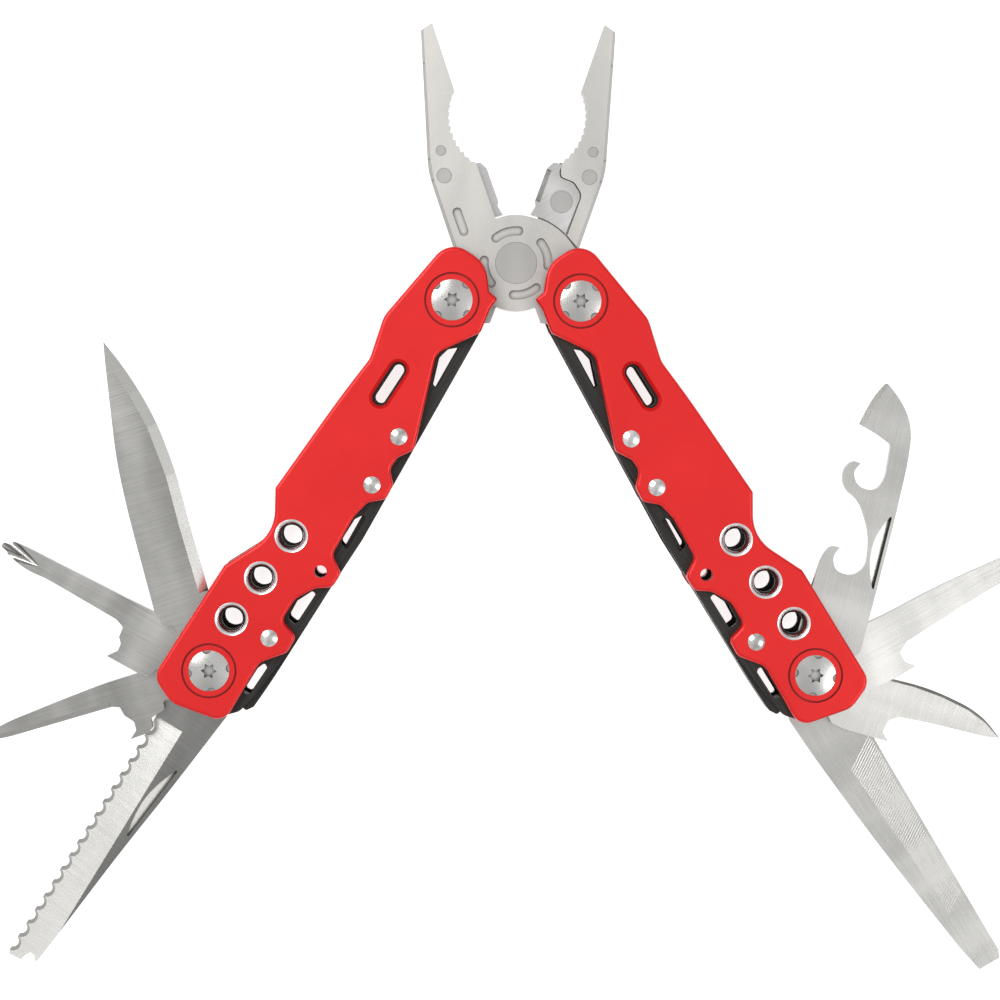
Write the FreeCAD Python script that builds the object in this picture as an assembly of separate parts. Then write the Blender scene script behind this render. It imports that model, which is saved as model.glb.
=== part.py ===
"""Folding multi tool: needle-nose pliers on two channel handles, with four folding tools in each handle.

The object lies flat with its pliers open and every tool fanned out.  The origin is in the middle of
its footprint, on the surface it lies on.  +Z is up, +Y points out through the open jaws, and +X is to
the right.  The pieces are modelled about the pliers' pivot and moved to that origin at the end.

Each jaw is two flat plates.  One of them, the hub plate, turns on the pliers' pivot and crosses to the
opposite handle.  The right jaw is the left one turned over about the Y axis.  The right handle is the
left one mirrored, apart from its tools.  Sizes are millimetres.
"""
import os
from math import atan2, cos, degrees, hypot, pi, radians, sin, tan

import FreeCAD, Part
from FreeCAD import Placement, Rotation, Vector

# Heights: the stack through a handle, from the surface up.
HEAD_PROUD = 0.6            # screw heads above the scale
SCALE = 2.5                 # red side plate
LINER = 1.0                 # black steel plate under it
CHANNEL = 9.0               # clear height between the liners
MIDDLE = HEAD_PROUD + SCALE + LINER + CHANNEL / 2
HALF = CHANNEL / 2
TOOL = 1.9                  # thickness of a folding tool
WASHER = (CHANNEL - 4 * TOOL) / 5
JAW_PLATE = 2.2             # thickness of one jaw plate
RUN = 0.05                  # running clearance round a shaft
THROUGH = 1                 # how far a cut runs past a face, so that it goes right through

# Places in plan.
JAW_OPEN = 19.75            # each jaw's turn from closed, degrees
HANDLE_ANGLE = 237.25       # left handle's direction, degrees from +X
JAW_POST = Vector(-12.87, -7.69, 0)   # left handle's pivot on the jaw tang
HANDLE = 88.77              # from the jaw post to the tool post
POST_R = 2.3
HEAD_R = 4.1
HUB_R = 9.7
HEAD_SEAT = 1.4             # depth of the pocket that a post's head sits in
NOTCH_AT = 4.35             # the four grip notches round a head: how far out, and their radius
NOTCH_R = 0.95
RIVET_R = 1.0
RIVET_HEAD_R = 1.7
RIVET_HEAD = 0.55
TANG_POST_R = 5.4           # round end of the jaw tang
PIVOT_R = 2.5               # pliers pivot: shank, head and head height
PIVOT_HEAD_R = 4.15
PIVOT_HEAD = 0.95
POCKET = 0.6                # depth of the pockets round the hub
SMOOTH = 1e6                # a corner radius that is as large as its two sides allow

# Handle frame: s runs from the jaw post to the tool post, t from the open side to the back edge.
RIVETS = [(28.7, 6.1), (39.7, 6.9)]
SPRING_RIVET = (76.7, 6.5)
CORD_HOLE = (59.9, 7.8)
CORD_HOLE_R = 1.25
HOLES = [(57.1, -1.0), (67.5, -1.5), (77.6, -1.9)]
HOLE_R = 2.53
HOLE_RIM_R = 3.28
LINER_HOLE_R = 2.12
SLOT_ENDS = [(17.6, -1.3), (24.2, -1.3)]
SLOT_R = 1.65
LINER_SLOT_R = 1.15
STOP_PIN = (2.97, 6.38)
STOP_PIN_R = 0.9

# How far each tool stands open at rest, degrees from folded, and its level from the front.
OPEN = {
    "knife": 51.2, "phillips_driver": 92.7, "awl": 140.4, "scaler": 177.7,
    "can_opener": 46.2, "flat_driver": 94.1, "small_blade": 141.2, "file": 180.3,
}


def level(index):
    """Bottom height of a tool at the given level, 0 at the front."""
    return MIDDLE + HALF - (index + 1) * (WASHER + TOOL)


def rounded(points):
    """A closed flat face whose corners are (x, y) sharp or (x, y, radius) rounded."""
    corners = [(Vector(p[0], p[1], 0), p[2] if len(p) > 2 else 0) for p in points]
    count = len(corners)
    cuts = []
    for i, (corner, radius) in enumerate(corners):
        before = corners[i - 1][0] - corner
        after = corners[(i + 1) % count][0] - corner
        angle = before.getAngle(after)
        if not radius or abs(angle - pi) < 1e-4:
            cuts.append((corner, corner, corner))
            continue
        room = 0.49 * min(before.Length, after.Length)
        back = min(radius / tan(angle / 2), room)
        radius = back * tan(angle / 2)
        start = corner + before.normalize() * back
        end = corner + after.normalize() * back
        inward = (before + after).normalize()
        middle = corner + inward * (hypot(back, radius) - radius)
        cuts.append((start, middle, end))
    edges = []
    for i, (start, middle, end) in enumerate(cuts):
        if start != end:
            edges.append(Part.Arc(start, middle, end).toShape())
        leave, arrive = end, cuts[(i + 1) % count][0]
        if (arrive - leave).Length > 1e-6:
            edges.append(Part.LineSegment(leave, arrive).toShape())
    return Part.Face(Part.Wire(edges))


def plate(face, low, height):
    """The face, raised to low and given a thickness upwards."""
    solid = face.extrude(Vector(0, 0, height))
    solid.translate(Vector(0, 0, low))
    return solid


def disc(x, y, radius, low, height):
    """An upright cylinder."""
    return Part.makeCylinder(radius, height, Vector(x, y, low))


def ring(x, y, inner, outer, low, height):
    """A flat ring."""
    return disc(x, y, outer, low, height).cut(disc(x, y, inner, low, height))


def slot(ends, radius, low, height):
    """A straight round-ended slot between two points."""
    (x1, y1), (x2, y2) = ends
    along = atan2(y2 - y1, x2 - x1)
    side = Vector(-sin(along), cos(along), 0) * radius
    a, b = Vector(x1, y1, 0), Vector(x2, y2, 0)
    ahead = Vector(cos(along), sin(along), 0) * radius
    edges = [
        Part.LineSegment(a + side, b + side), Part.Arc(b + side, b + ahead, b - side),
        Part.LineSegment(b - side, a - side), Part.Arc(a - side, a - ahead, a + side),
    ]
    return plate(Part.Face(Part.Wire([e.toShape() for e in edges])), low, height)


def join(shapes):
    """The shapes fused into one, without the seams."""
    return shapes[0].multiFuse(shapes[1:]).removeSplitter()


def flat_edges(solid, height):
    """Edges of a solid that lie flat at a height."""
    found = []
    for edge in solid.Edges:
        box = edge.BoundBox
        if abs(box.ZMin - height) < 1e-4 and abs(box.ZMax - height) < 1e-4:
            found.append(edge)
    return found


def placed(solid, side):
    """A solid from the left handle's frame to its place, mirrored across for the right handle."""
    there = solid.copy()
    there.Placement = Placement(JAW_POST, Rotation(Vector(0, 0, 1), HANDLE_ANGLE)) * there.Placement
    return there if side == "left" else there.mirror(Vector(0, 0, 0), Vector(1, 0, 0))


# ---- handles ------------------------------------------------------------------------------------

SCALE_OUTLINE = [
    (-9.9, -7.0, 6.0), (10.2, -9.6, 6.0), (18.8, -7.3, 5.0), (28.0, -8.05, SMOOTH), (50.8, -8.95, 0.8),
    (58.6, -4.1, 10.0), (69.4, -9.0, 0.8), (95.9, -8.7, 3.5), (98.4, -2.8, 5.0), (95.9, 8.2, 3.2),
    (81.9, 7.6, 3.0), (77.2, 11.1, 1.9), (73.5, 10.9, 1.5), (72.4, 6.7, 1.6), (67.3, 6.6, 3.0),
    (63.4, 8.7, 2.5), (61.3, 11.5, 1.6), (58.0, 11.5, 1.7), (55.7, 7.9, 2.0), (47.0, 7.4, 3.0),
    (43.2, 8.1, 2.0), (40.6, 10.8, 1.5), (37.4, 10.5, 1.5), (35.0, 8.1, 2.5), (32.4, 8.2, 2.0),
    (29.2, 10.1, 1.4), (22.9, 7.8, SMOOTH), (10.6, 3.3, 3.0), (2.3, 8.35, 1.2), (-2.6, 7.4, 4.0),
    (-5.2, 7.5, 0.5), (-5.5, 5.3, 0.8), (-9.8, 1.6, 6.0),
]
BACK_EDGE = [(1.6, 8.2), (50.0, 11.35), (76.0, 11.35), (88.0, 10.45), (92.6, 9.6), (95.9, 6.6)]
WINDOWS = [
    [(7.0, 6.4, 0.3), (8.6, 4.7, 1.0), (11.0, 4.2, 1.0), (16.2, 6.1, 0.3), (16.4, 7.0, 0.3)],
    [(45.6, 8.9, 0.4), (47.4, 7.8, 0.8), (53.0, 7.9, 0.8), (53.4, 9.9, 0.4), (46.2, 9.6, 0.4)],
    [(64.2, 8.6, 0.4), (67.6, 7.1, 1.0), (71.6, 7.4, 0.8), (71.8, 9.5, 0.4), (64.4, 9.5, 0.4)],
    [(81.6, 8.5, 0.4), (83.2, 7.9, 0.5), (89.0, 8.0, 0.5), (88.8, 9.4, 0.5), (82.2, 9.5, 0.5)],
]


def bores(solid, radius):
    """Bores for the two posts through a handle plate."""
    for s in (0, HANDLE):
        solid = solid.cut(disc(s, 0, radius, -THROUGH, 2 * MIDDLE + 2 * THROUGH))
    return solid


def make_scale():
    """Front scale, in the handle frame, with its outer face up at the height it has there."""
    low = MIDDLE + HALF + LINER
    top = low + SCALE
    solid = plate(rounded(SCALE_OUTLINE), low, SCALE)
    solid = solid.makeFillet(0.7, flat_edges(solid, top))
    rim = HOLE_RIM_R - HOLE_R
    for s, t in HOLES:
        solid = solid.cut(disc(s, t, HOLE_R, low - THROUGH, SCALE + 2 * THROUGH))
        solid = solid.cut(Part.makeCone(HOLE_R, HOLE_RIM_R + 0.1, rim + 0.1, Vector(s, t, top - rim)))
    solid = solid.cut(slot(SLOT_ENDS, SLOT_R, low - THROUGH, SCALE + 2 * THROUGH))
    (slot_from, slot_line), (slot_to, _) = SLOT_ENDS
    solid = solid.makeChamfer(0.6, [
        e for e in flat_edges(solid, top)
        if slot_from - 2 < e.CenterOfMass.x < slot_to + 2 and abs(e.CenterOfMass.y - slot_line) < 2.5
    ])
    solid = solid.cut(disc(*CORD_HOLE, CORD_HOLE_R, low - THROUGH, SCALE + 2 * THROUGH))
    for s, t in RIVETS + [SPRING_RIVET]:
        solid = solid.cut(disc(s, t, RIVET_R, low - THROUGH, SCALE + 2 * THROUGH))
    for s in (0, HANDLE):
        solid = solid.cut(disc(s, 0, HEAD_R, top - HEAD_SEAT, 2))
        solid = solid.cut(ring(s, 0, 5.15, 5.55, top - 0.45, 1))
    return bores(solid, POST_R)


def make_liner():
    """Front liner, in the handle frame."""
    low = MIDDLE + HALF
    open_side, jaw_end = SCALE_OUTLINE[:9], SCALE_OUTLINE[-4:]
    outline = open_side + [(s, t, 3.0) for s, t in reversed(BACK_EDGE)] + jaw_end
    solid = plate(rounded(outline), low, LINER)
    for window in WINDOWS:
        solid = solid.cut(plate(rounded(window), low - THROUGH, LINER + 2 * THROUGH))
    for s, t in HOLES:
        solid = solid.cut(disc(s, t, LINER_HOLE_R, low - THROUGH, LINER + 2 * THROUGH))
    solid = solid.cut(slot(SLOT_ENDS, LINER_SLOT_R, low - THROUGH, LINER + 2 * THROUGH))
    solid = solid.cut(disc(*CORD_HOLE, CORD_HOLE_R, low - THROUGH, LINER + 2 * THROUGH))
    for s, t in RIVETS + [SPRING_RIVET]:
        solid = solid.cut(disc(s, t, RIVET_R, low - THROUGH, LINER + 2 * THROUGH))
    solid = solid.cut(disc(*STOP_PIN, STOP_PIN_R, low - THROUGH, LINER + 2 * THROUGH))
    return bores(solid, POST_R)


def flipped(solid):
    """The same piece on the other face of the handle."""
    return solid.mirror(Vector(0, 0, MIDDLE), Vector(0, 0, 1))


def star(radius, low, height):
    """A six-pointed driver recess."""
    points = []
    for k in range(12):
        reach = radius if k % 2 == 0 else radius * 0.6
        points.append((reach * cos(k * pi / 6), reach * sin(k * pi / 6), 0.08))
    return plate(rounded(points), low, height)


def domed_head(radius, low, height, dome):
    """A round head whose face is a shallow dome."""
    body = disc(0, 0, radius, low, height)
    ball = (radius ** 2 + dome ** 2) / (2 * dome)
    cap = Part.makeSphere(ball, Vector(0, 0, low + height - ball))
    return body.common(cap)


def head_heights():
    """Bottom and top of a post's head on the front."""
    face = MIDDLE + HALF + LINER + SCALE
    return face - HEAD_SEAT, face + HEAD_PROUD


def notched(head, low, turn):
    """A round head with four grip notches, cut down to low."""
    for k in range(4):
        a = radians(turn + 90 * k)
        head = head.cut(disc(NOTCH_AT * cos(a), NOTCH_AT * sin(a), NOTCH_R, low, 2))
    return head


def make_screw(turn):
    """A post screw with its head on the front, at the frame's origin."""
    seat, top = head_heights()
    head = domed_head(HEAD_R, seat, top - seat, 0.45)
    head = notched(head.cut(star(1.65, top - 1.3, 2)), top - 1.0, turn)
    shank_low = HEAD_PROUD + 0.9
    return join([head, disc(0, 0, POST_R, shank_low, seat - shank_low)])


def make_nut():
    """The matching nut head on the back, flat so that the object rests on it, at the frame's origin."""
    seat, top = head_heights()
    head = disc(0, 0, HEAD_R, seat, top - seat)
    head = notched(head.makeChamfer(0.3, flat_edges(head, top)), top - 0.8, 0)
    socket = 0.5
    return flipped(head.cut(disc(0, 0, POST_R, seat - THROUGH, THROUGH + socket)))


def at(solid, s, t=0):
    """The solid, moved in plan."""
    moved = solid.copy()
    moved.translate(Vector(s, t, 0))
    return moved


def make_rivets():
    """The two short rivets that hold the front scale, liner and front spring together."""
    found = []
    top = MIDDLE + HALF + LINER + SCALE
    low = level(0)
    for s, t in RIVETS:
        dome = domed_head(RIVET_HEAD_R, top, RIVET_HEAD, 0.45)
        found.append(join([at(dome, s, t), disc(s, t, RIVET_R, low, top - low)]))
    return Part.makeCompound(found)


def make_spring_rivet():
    """The long rivet through the whole handle that holds every spring."""
    top = MIDDLE + HALF + LINER + SCALE
    dome = at(domed_head(RIVET_HEAD_R, top, RIVET_HEAD, 0.45), *SPRING_RIVET)
    low = 2 * MIDDLE - top
    return join([dome, flipped(dome), disc(*SPRING_RIVET, RIVET_R, low, top - low)])


def make_spring(index, long):
    """A back spring: a strip along the back edge with a nose on the tool's tang."""
    low = level(index)
    nose = [(HANDLE + 2.7, 5.45, 0.3), (HANDLE + 0.9, 5.45, 0.3), (HANDLE + 0.6, 9.6, 0.4)]
    tail = [(HANDLE + 3.0, 9.9, 0.3), (HANDLE + 3.1, 10.6, 0.6), (HANDLE + 1.6, 11.5, 0.6)]
    if long:
        face_in = [(60.0, 9.55, SMOOTH), (47.0, 8.65, SMOOTH), (5.0, 6.0, 0.5)]
        face_out = [(5.0, 8.25, 0.5), (50.0, 11.2, SMOOTH), (84.0, 11.7, SMOOTH)]
    else:
        face_in = [(57.4, 9.6, 0.5)]
        face_out = [(57.4, 11.2, 0.5), (84.0, 11.7, SMOOTH)]
    strip = plate(rounded(nose + face_in + face_out + tail[::-1]), low, TOOL)
    ears = RIVETS + [SPRING_RIVET] if long else [SPRING_RIVET]
    for s, t in ears:
        ear = plate(rounded([(s - 1.45, t - 1.45, 1.4), (s + 1.45, t - 1.45, 1.4),
                             (s + 2.2, 9.9), (s - 2.2, 9.9 if s > 50 else 8.6)]), low, TOOL)
        strip = strip.fuse(ear)
    strip = strip.removeSplitter()
    for s, t in ears:
        strip = strip.cut(disc(s, t, RIVET_R, low - THROUGH, TOOL + 2 * THROUGH))
    return strip


def make_stop_pin():
    """The pin that stops the jaw tang when the handle is swung out."""
    low = MIDDLE - HALF - LINER
    return disc(*STOP_PIN, STOP_PIN_R, low, CHANNEL + 2 * LINER)


def make_jaw_spacers():
    """Rings round the jaw post that fill the channel beside the tang, which is at the back on the left."""
    outer = HALF - JAW_PLATE
    radius = 4.8
    front = ring(0, 0, POST_R, radius, MIDDLE + JAW_PLATE, outer)
    beside = ring(0, 0, POST_R, radius, MIDDLE, JAW_PLATE)
    back = ring(0, 0, POST_R, radius, MIDDLE - HALF, outer)
    return Part.makeCompound([front, beside, back])


def make_tool_washers():
    """Thin rings between the tools on the tool post."""
    found = []
    for k in range(5):
        found.append(ring(HANDLE, 0, POST_R, 4.6, MIDDLE - HALF + k * (WASHER + TOOL), WASHER))
    return Part.makeCompound(found)


# ---- tools --------------------------------------------------------------------------------------
# Tool frame: a runs from the pivot to the tip, b towards the handle's back edge when folded.

TANG_R = 5.2


def tool_blank(outline, low):
    """A flat tool with its round tang and its pivot bore."""
    solid = join([plate(rounded(outline), low, TOOL), disc(0, 0, TANG_R, low, TOOL)])
    return solid.cut(disc(0, 0, POST_R + RUN, low - THROUGH, TOOL + 2 * THROUGH))


def wedge(start, end, width, depth, top, side):
    """A long wedge that grinds a bevel: no depth along start-end, full depth at width to one side."""
    (x1, y1), (x2, y2) = start, end
    length = hypot(x2 - x1, y2 - y1)
    profile = Part.makePolygon([
        Vector(0, 0, 0), Vector(0, side * width, -depth), Vector(0, side * width, 1.5), Vector(0, 0, 1.5),
        Vector(0, 0, 0),
    ])
    solid = Part.Face(profile).extrude(Vector(length, 0, 0))
    turn = degrees(atan2(y2 - y1, x2 - x1))
    solid.Placement = Placement(Vector(x1, y1, top), Rotation(Vector(0, 0, 1), turn))
    return solid


def grind(solid, low, line, width, depth, side=1, faces=(1, -1)):
    """Grind a bevel along a line of points, falling to depth at width to one side; 1 is the front face."""
    spare, wide = 0.6, 3.0
    for face in faces:
        cuts = []
        for (x1, y1), (x2, y2) in zip(line, line[1:]):
            along = Vector(x2 - x1, y2 - y1, 0).normalize() * spare
            start, end = (x1 - along.x, y1 - along.y), (x2 + along.x, y2 + along.y)
            cuts.append(wedge(start, end, width * wide, depth * wide, 0, side))
        ground = join(cuts)
        if face < 0:
            ground = ground.mirror(Vector(0, 0, 0), Vector(0, 0, 1))
        ground.translate(Vector(0, 0, low + TOOL if face > 0 else low))
        solid = solid.cut(ground)
    return solid


def nick(points, low):
    """A thumbnail nick in the front face: a crescent that deepens from its bow to its straight side."""
    deep, bow = 0.85, max(p[1] for p in points)
    straight = min(p[1] for p in points)
    slope = wedge((points[0][0] - 30, bow), (points[0][0] + 30, bow), bow - straight, deep, low + TOOL, -1)
    return plate(rounded(points), low + TOOL - 2 * deep, 3 * deep).common(slope)


def make_knife(low):
    """Main blade."""
    outline = [
        (69.3, 0.0), (54.9, -3.0, SMOOTH), (45.8, -4.85, SMOOTH), (35.0, -5.95, SMOOTH), (14.4, -7.1, 0.5),
        (13.2, -6.5, 0.5), (11.1, -6.5, 0.6), (10.8, -4.4, 0.6), (8.6, -4.0, 0.6), (4.0, -5.4, 1.0), (0, -4.0),
        (0, 4.0), (3.0, 5.0, 2.0), (13.6, 3.6, 1.0), (15.3, 4.5, 0.4), (29.1, 4.95, SMOOTH), (39.7, 5.7, SMOOTH),
        (50.1, 5.2, SMOOTH), (57.5, 3.85, SMOOTH), (64.0, 2.0, SMOOTH),
    ]
    solid = tool_blank(outline, low)
    line = [(15.9, 2.6), (29.1, 3.0), (39.7, 3.6), (50.1, 3.1), (57.5, 1.7), (63.0, 0.1), (68.0, -2.0)]
    return grind(solid, low, line, 2.1, 0.85)


def make_phillips_driver(low):
    """Cross-point driver with a wire-stripper notch."""
    outline = [
        (48.9, 0.5), (47.0, 1.9, 1.0), (43.7, 2.3, SMOOTH), (38.4, 2.55, SMOOTH), (15.6, 3.9, SMOOTH),
        (3.0, 5.0, 2.0), (0, 4.0), (0, -4.0), (4.2, -4.6, 1.0), (9.4, -5.7, 0.6), (9.9, -7.4, 0.6),
        (11.2, -8.4, 0.6), (19.4, -8.6, 0.1), (18.0, -6.6, 0.8), (18.2, -5.0, 0.6), (19.2, -4.0, 0.4),
        (19.5, -1.9, 0.5), (21.5, -1.2, 0.8), (38.0, -1.25, SMOOTH), (41.9, -1.8, SMOOTH), (47.0, -1.1, 1.0),
        (48.9, -0.3),
    ]
    solid = tool_blank(outline, low)
    tip = 49.0
    for face in (1, -1):
        top = low + TOOL if face > 0 else low
        for turn in (-9, 9):
            groove = Part.makeCone(0.35, 1.5, 9.0, Vector(0, 0, 0), Vector(1, 0, 0))
            groove.Placement = Placement(
                Vector(tip - 8.4, 0.15, top + face * 0.25), Rotation(Vector(0, 0, 1), turn))
            solid = solid.cut(groove)
    return solid


def make_awl(low):
    """Scraper awl with a cap-lifter hook."""
    outline = [
        (50.3, -0.35, 0.3), (44.0, 1.45, SMOOTH), (30.2, 2.65, SMOOTH), (21.1, 3.25, SMOOTH), (14.6, 3.2, 0.5),
        (13.2, 2.0, 0.5), (11.5, 3.2, 0.5), (3.0, 5.0, 2.0), (0, 4.0), (0, -4.0), (6.0, -4.4, 1.0),
        (11.6, -3.6, 0.6), (11.7, -5.4, 0.6), (15.0, -6.3, 0.5), (15.1, -8.2, 0.6), (16.3, -9.0, 0.5),
        (20.2, -9.2, 0.1), (18.5, -7.8, 0.6), (18.4, -6.0, 1.0), (19.9, -4.2, 1.0), (20.3, -2.3, 0.5),
        (21.7, -1.8, 0.6), (44.8, -1.45, SMOOTH),
    ]
    solid = tool_blank(outline, low)
    return grind(solid, low, [(22.6, -0.7), (45.5, -0.4), (52.0, 0.1)], 1.1, 0.55, side=-1)


def make_scaler(low):
    """Fish scaler: a scalloped edge on a wide one-sided grind, with a hook disgorger at the tip."""
    count = 17
    first, last = Vector(16.2, 3.35, 0), Vector(71.6, 0.1, 0)
    step = (last - first) * (1 / count)
    outline = [
        (72.4, -0.3, 0.3), (71.9, -3.0, 0.3), (70.7, -3.1, 0.3), (69.5, -3.7, 0.4), (69.6, -4.7, 0.3),
        (70.5, -5.7, 0.2), (69.4, -5.9, 0.5), (63.7, -6.1, SMOOTH), (41.7, -6.75, SMOOTH),
        (27.0, -7.6, SMOOTH), (6.9, -8.3, 1.5), (4.6, -7.6, 1.0), (3.4, -3.0), (0, -4.0), (0, 4.0),
        (3.0, 5.0, 2.0), (11.0, 4.1, 2.0), (first.x, first.y, 0.2),
    ]
    solid = tool_blank(outline + [(last.x, last.y)], low)
    ground_from, ground_to = (14.6, -2.75), (74.0, -6.9)
    solid = solid.cut(wedge(ground_from, ground_to, 12.0, 1.55, low + TOOL, 1))
    for k in range(count):
        middle = first + step * (k + 0.5)
        out = Vector(-step.y, step.x, 0).normalize()
        centre = middle + out * 0.35
        scallop = Part.makeCone(0.85, 2.6, 3.0, Vector(centre.x, centre.y, low - 0.5))
        solid = solid.cut(scallop)
    crescent = [
        (20.6, -6.7, 0.2), (26.1, -4.9, SMOOTH), (30.4, -4.35, SMOOTH), (34.8, -4.8, SMOOTH), (39.6, -6.15, 0.2),
    ]
    return solid.cut(nick(crescent, low))


def make_can_opener(low):
    """Can opener beak with a cap lifter and a second hook."""
    outline = [
        (60.7, 0.0, 0.5), (58.2, -3.3, SMOOTH), (54.9, -6.1, SMOOTH), (51.4, -7.5, SMOOTH), (46.0, -8.1, SMOOTH),
        (34.0, -8.4, SMOOTH), (16.4, -8.3, SMOOTH), (6.0, -8.2, 1.5), (3.6, -3.5), (0, -4.0), (0, 4.0),
        (3.0, 5.0, 2.0), (17.3, 4.6, SMOOTH), (23.6, 4.1, SMOOTH), (26.0, 2.9, SMOOTH), (26.1, 1.0, 0.15),
        (24.0, 2.0, SMOOTH), (21.3, 0.9, SMOOTH), (20.9, -2.9, SMOOTH), (23.6, -5.2, SMOOTH),
        (30.2, -4.2, SMOOTH), (36.2, -0.4, SMOOTH), (37.9, 3.4, SMOOTH), (41.6, 4.3, SMOOTH), (43.8, 2.8, SMOOTH),
        (43.6, 1.1, 0.15), (41.6, 2.2, SMOOTH), (38.9, 0.7, SMOOTH), (38.7, -3.1, SMOOTH), (41.6, -4.5, SMOOTH),
        (48.7, -3.9, 0.9), (50.2, -0.4, SMOOTH),
        (51.2, 3.3, 0.2), (54.8, 2.5, SMOOTH), (57.9, 1.5, SMOOTH),
    ]
    solid = tool_blank(outline, low)
    crescent = [
        (35.1, -7.7, 0.2), (32.5, -6.2, SMOOTH), (29.3, -5.3, SMOOTH), (25.9, -5.3, SMOOTH), (22.4, -6.1, SMOOTH),
        (18.8, -7.7, 0.2),
    ]
    solid = solid.cut(nick(crescent, low))
    return grind(solid, low, [(51.5, 2.2), (55.0, 1.3), (58.5, 0.2), (61.5, -1.0)], 1.1, 0.7)


def make_flat_driver(low):
    """Flat driver, ground thin at its tip, with a scraper hook."""
    outline = [
        (47.6, 2.3), (38.6, 2.85, SMOOTH), (29.8, 3.4, SMOOTH), (15.5, 3.3, SMOOTH), (3.0, 5.0, 2.0), (0, 4.0),
        (0, -4.0), (4.0, -5.2), (8.6, -8.7, 1.5), (14.4, -9.1, SMOOTH), (19.2, -8.8, 0.1), (17.8, -7.2, 0.8),
        (17.6, -4.9, 1.2), (20.0, -3.5, 1.0), (39.9, -2.1, SMOOTH), (47.6, -2.0),
    ]
    solid = tool_blank(outline, low)
    return grind(solid, low, [(40.2, -6.0), (39.2, 6.0)], 8.0, 0.63, side=-1)


def make_small_blade(low):
    """Short pen blade."""
    outline = [
        (41.0, -0.3), (38.8, -0.95, SMOOTH), (26.1, -2.1, SMOOTH), (20.4, -2.9, 0.8), (18.4, -4.2, 1.2),
        (18.0, -6.9, 0.8), (19.8, -8.4, 0.1), (10.4, -8.9, SMOOTH), (7.6, -8.6, 1.5), (4.0, -5.2), (0, -4.0),
        (0, 4.0), (3.0, 5.0, 2.0), (16.0, 3.9, 1.0), (22.1, 4.45, SMOOTH), (27.0, 4.35, SMOOTH),
        (33.2, 3.6, SMOOTH), (37.3, 2.25, SMOOTH),
    ]
    solid = tool_blank(outline, low)
    line = [(16.5, 3.5), (21.0, 3.85), (27.0, 3.75), (33.2, 2.95), (37.3, 1.6), (41.6, -0.8)]
    return grind(solid, low, line, 0.6, 0.6)


def make_file(low):
    """File with a toothed edge and a driver tip."""
    outline = [
        (71.2, 2.2), (69.6, 2.85, 0.3), (19.0, 3.95, SMOOTH), (3.0, 5.0, 2.0), (0, 4.0), (0, -4.0), (3.4, -3.0),
        (4.6, -7.8, 1.0), (6.7, -8.8, 1.0), (15.2, -8.5, SMOOTH), (33.2, -7.15, SMOOTH), (47.2, -5.75, SMOOTH),
        (66.2, -3.55, SMOOTH), (71.1, -2.6),
    ]
    solid = tool_blank(outline, low)
    pitch, deep = 0.95, 0.16
    for k in range(36):
        a = 18.5 + pitch * k
        b = 3.95 - (a - 19.0) * (3.95 - 2.85) / 50.6
        tooth = rounded([(a, b - deep), (a + 0.42, b + 0.4), (a - 0.42, b + 0.4)])
        solid = solid.cut(plate(tooth, low - 1, TOOL + 2))
    return solid


TOOLS = {
    "left": [("knife", make_knife), ("phillips_driver", make_phillips_driver), ("awl", make_awl),
             ("scaler", make_scaler)],
    "right": [("can_opener", make_can_opener), ("flat_driver", make_flat_driver),
              ("small_blade", make_small_blade), ("file", make_file)],
}


def opened(solid, angle):
    """A tool from its own frame to its place on the tool post, opened by an angle from folded."""
    turned = solid.mirror(Vector(0, 0, 0), Vector(0, 1, 0))
    turned.Placement = Placement(Vector(HANDLE, 0, 0), Rotation(Vector(0, 0, 1), 180 + angle)) * turned.Placement
    return turned


# ---- jaws ---------------------------------------------------------------------------------------
# Jaw frame: the left jaw as it lies when closed, with +Y along the jaws and the pivot at the origin.

TANG_POST = Vector(9.51, -11.59, 0)   # the opposite handle's pivot, on the tang
JAW_PINS = [(-6.85, 26.25, 0.9), (-7.9, 21.3, 1.4)]
CUTTER_RIVET = (-4.3, 14.7, 2.15)
RIVET_BLIND = 1.2            # how far the cutter's rivet goes into the hub plate
PIN_GROOVE = 0.15           # width and depth of the groove left round a flush pin
TEETH_FROM, TEETH_DEEP, TEETH_TO = Vector(-0.4, 36.6, 0), Vector(-3.45, 28.6, 0), Vector(-1.25, 21.9, 0)
JAW_BEVEL = [
    (-10.2, 7.0), (-10.1, 21.2), (-9.4, 25.4), (-7.7, 31.1), (-5.85, 37.5), (-4.1, 43.8), (-2.1, 50.6),
]
OUTER_SIDE = [(-10.75, 19.0, SMOOTH), (-10.6, 23.4, SMOOTH), (-6.5, 37.5, SMOOTH), (-2.75, 50.3, 0.3)]
RECESS = [(-2.0, 20.6, 0.8), (-2.5, 19.35, 0.9), (-5.4, 19.3, 2.0), (-7.75, 17.5, 2.2), (-7.75, 8.75, 0.3)]


def tooth_line():
    """Points of the gripping teeth, from the tip end down: a shallow arc with a sawtooth on it."""
    arc = Part.Arc(TEETH_FROM, TEETH_DEEP, TEETH_TO)
    count = 11
    points = []
    for k in range(count):
        share = (arc.LastParameter - arc.FirstParameter) / count
        for step, lift in ((0.0, 0.0), (0.75, 0.5)):
            p = arc.value(arc.FirstParameter + (k + step) * share)
            points.append((p.x - lift, p.y, 0.1))
    points.append((TEETH_TO.x, TEETH_TO.y))
    return points


def jaw_bevel(top):
    """What comes off the jaw's outer edge to bevel it, for a face that looks up."""
    return join([wedge(start, end, 2.0, 2.0, top, 1) for start, end in zip(JAW_BEVEL, JAW_BEVEL[1:])])


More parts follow.
